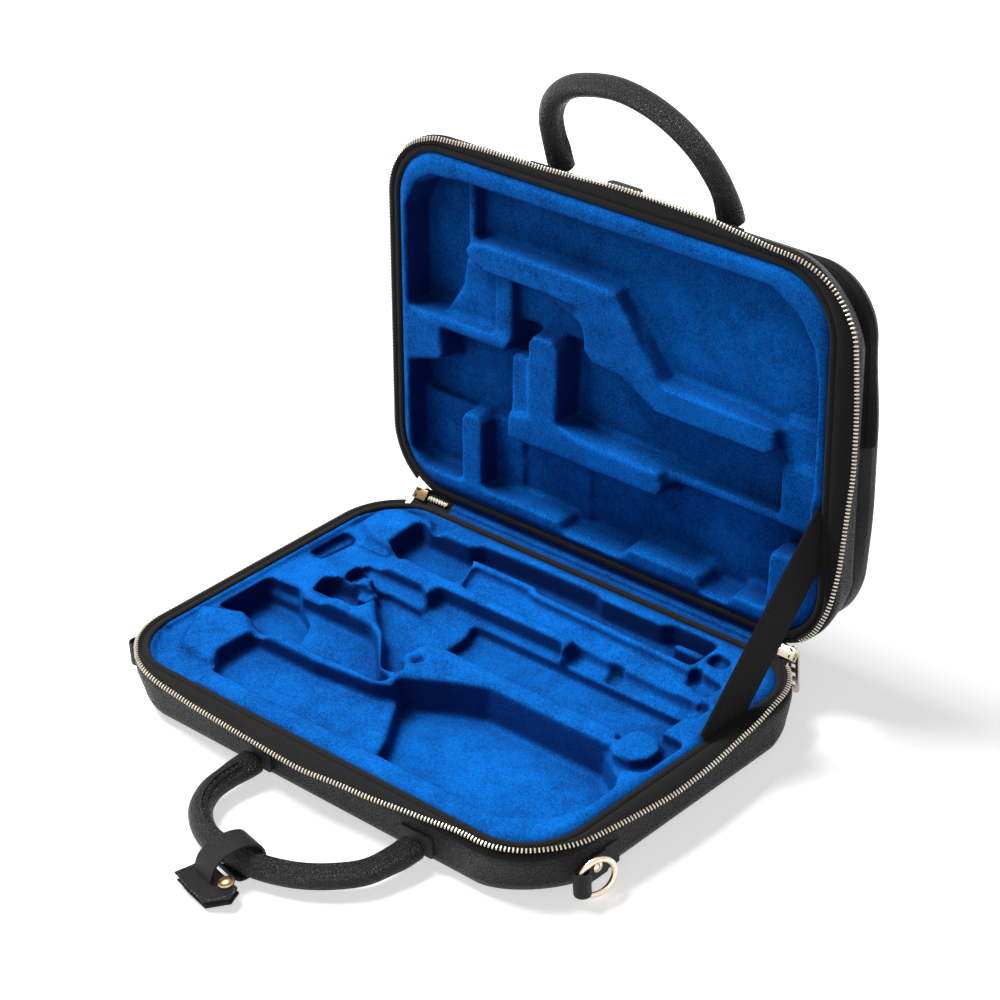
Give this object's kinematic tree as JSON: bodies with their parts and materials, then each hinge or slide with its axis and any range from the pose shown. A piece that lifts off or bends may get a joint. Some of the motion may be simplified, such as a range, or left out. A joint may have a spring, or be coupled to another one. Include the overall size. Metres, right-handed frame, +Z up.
{
  "type": "oboe_case",
  "caption": "Open zip-fastened oboe case in black pebbled leather with moulded blue velvet trays, two rolled handles, a stay strap and a luggage tag",
  "frame": {"origin": "On the floor under the middle of the base shell, handles left out", "axes": "+X along the hinge, +Y to the back, +Z up"},
  "size_m": [0.3514, 0.3904, 0.3289],
  "materials": {
    "leather": "pebbled black leather",
    "velvet": "short-pile blue velvet",
    "core_board": "stiff foam board",
    "rim_fabric": "plain black cloth",
    "webbing": "ribbed black webbing",
    "zip_metal": "pale polished nickel-brass",
    "pale_metal": "pale gold plating",
    "black_nylon": "black nylon coil"
  },
  "bodies": {
    "base": {"base_cover": "leather", "base_core": "core_board", "base_tray": "velvet", "base_rim_band": "rim_fabric", "base_zip_tape": "rim_fabric", "base_zip_teeth": "zip_metal", "base_handle_patch_left": "leather", "base_handle_patch_right": "leather", "hinge_strip": "leather", "velvet_crease": "velvet", "stay_strap": "webbing", "zip_slider_left": "zip_metal", "zip_slider_right": "zip_metal", "zip_joined_teeth_left": "zip_metal", "zip_joined_teeth_right": "zip_metal", "ring_tab_left": "leather", "ring_tab_right": "leather", "ring_rivet_left": "pale_metal", "ring_rivet_right": "pale_metal"},
    "lid": {"lid_cover": "leather", "lid_core": "core_board", "lid_tray": "velvet", "lid_rim_band": "rim_fabric", "lid_zip_tape": "rim_fabric", "lid_zip_teeth": "zip_metal", "lid_handle_patch_left": "leather", "lid_handle_patch_right": "leather", "pocket_panel": "leather", "pocket_zip_gusset": "rim_fabric", "pocket_plain_gusset": "leather", "pocket_zip_coil": "black_nylon"},
    "base_handle": {"base_handle": "leather"},
    "lid_handle": {"lid_handle": "leather"},
    "tag": {"tag_loop": "leather", "tag_plate_lower": "leather", "tag_plate_upper": "leather", "tag_snap": "pale_metal"},
    "strap_ring_left": {"strap_ring_left": "pale_metal"},
    "strap_ring_right": {"strap_ring_right": "pale_metal"},
    "zip_pull_left": {"zip_pull_left": "zip_metal"},
    "zip_pull_right": {"zip_pull_right": "zip_metal"},
    "pocket_slider": {"pocket_slider": "black_nylon"},
    "pocket_pull": {"pocket_pull": "leather"}
  },
  "joints": [
    {"name": "lid_hinge", "type": "hinge", "parent": "base", "child": "lid", "pos_m": [0, 0.1145, 0.0335], "axis": [1, 0, 0], "range_deg": [0, 94], "deforming": ["hinge_strip", "velvet_crease", "stay_strap"]},
    {"name": "base_handle_turn", "type": "hinge", "parent": "base", "child": "base_handle", "pos_m": [0.021, -0.123, 0.011], "axis": [1, 0, 0], "range_deg": [-95, 0]},
    {"name": "lid_handle_turn", "type": "hinge", "parent": "lid", "child": "lid_handle", "pos_m": [0.011, 0.15178, 0.26337], "axis": [-1, 0, 0], "range_deg": [-25, 80]},
    {"name": "tag_swing", "type": "hinge", "parent": "base_handle", "child": "tag", "pos_m": [0.00955, -0.18386, 0.0088], "axis": [-0.9816, 0.1907, 0.0069], "range_deg": [0, 100]},
    {"name": "left_ring_swing", "type": "hinge", "parent": "base", "child": "strap_ring_left", "pos_m": [-0.16853, -0.0868, 0.0125], "axis": [0, 0, 1], "range_deg": [-12, 130]},
    {"name": "right_ring_swing", "type": "hinge", "parent": "base", "child": "strap_ring_right", "pos_m": [0.16853, -0.0868, 0.0125], "axis": [0, 0, -1], "range_deg": [-12, 130]},
    {"name": "left_pull_swing", "type": "hinge", "parent": "base", "child": "zip_pull_left", "pos_m": [-0.139, 0.1191, 0.032], "axis": [1, 0, 0], "range_deg": [-5, 70]},
    {"name": "right_pull_swing", "type": "hinge", "parent": "base", "child": "zip_pull_right", "pos_m": [0.139, 0.1191, 0.032], "axis": [1, 0, 0], "range_deg": [-5, 70]},
    {"name": "pocket_zip_slide", "type": "slide", "parent": "lid", "child": "pocket_slider", "axis": [1, 0, 0], "range_m": [-0.1, 0.1]},
    {"name": "pocket_pull_swing", "type": "hinge", "parent": "pocket_slider", "child": "pocket_pull", "pos_m": [0, 0.16225, 0.2505], "axis": [0, 0.9976, -0.0698], "range_deg": [0, 150]}
  ]
}
